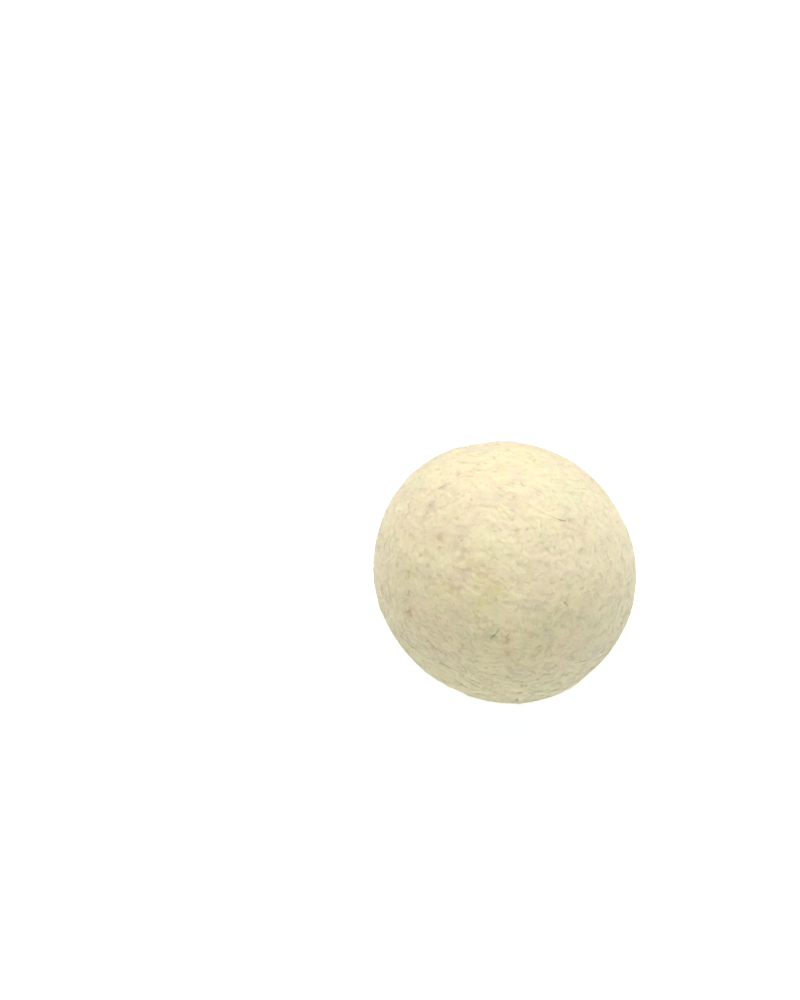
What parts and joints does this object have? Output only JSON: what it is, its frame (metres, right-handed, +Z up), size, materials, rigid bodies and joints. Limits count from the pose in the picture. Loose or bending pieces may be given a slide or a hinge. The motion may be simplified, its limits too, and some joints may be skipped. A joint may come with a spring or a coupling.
{
  "type": "dryer ball",
  "caption": "Solid felted wool ball that tumbles among laundry in a clothes dryer, parting and softening it; a rolled core in crossed wraps under a fleecy cover.",
  "frame": {"origin": "middle of the small flat that the ball rests on", "axes": "+Z up through the ball's centre, +X along its longest way across, +Y along its shortest"},
  "size_m": [0.0714, 0.0686, 0.0698],
  "materials": {
    "felt_cover": "matt felted wool, natural cream, fuzzy, with darker fibres and flecks in it",
    "carded_wool": "matted carded wool, natural cream",
    "core_wool": "tightly rolled carded wool, natural cream"
  },
  "bodies": {
    "root": {"felted_cover": "felt_cover", "third_wrap": "carded_wool", "second_wrap": "carded_wool", "first_wrap": "carded_wool", "core_roll": "core_wool"}
  },
  "joints": []
}
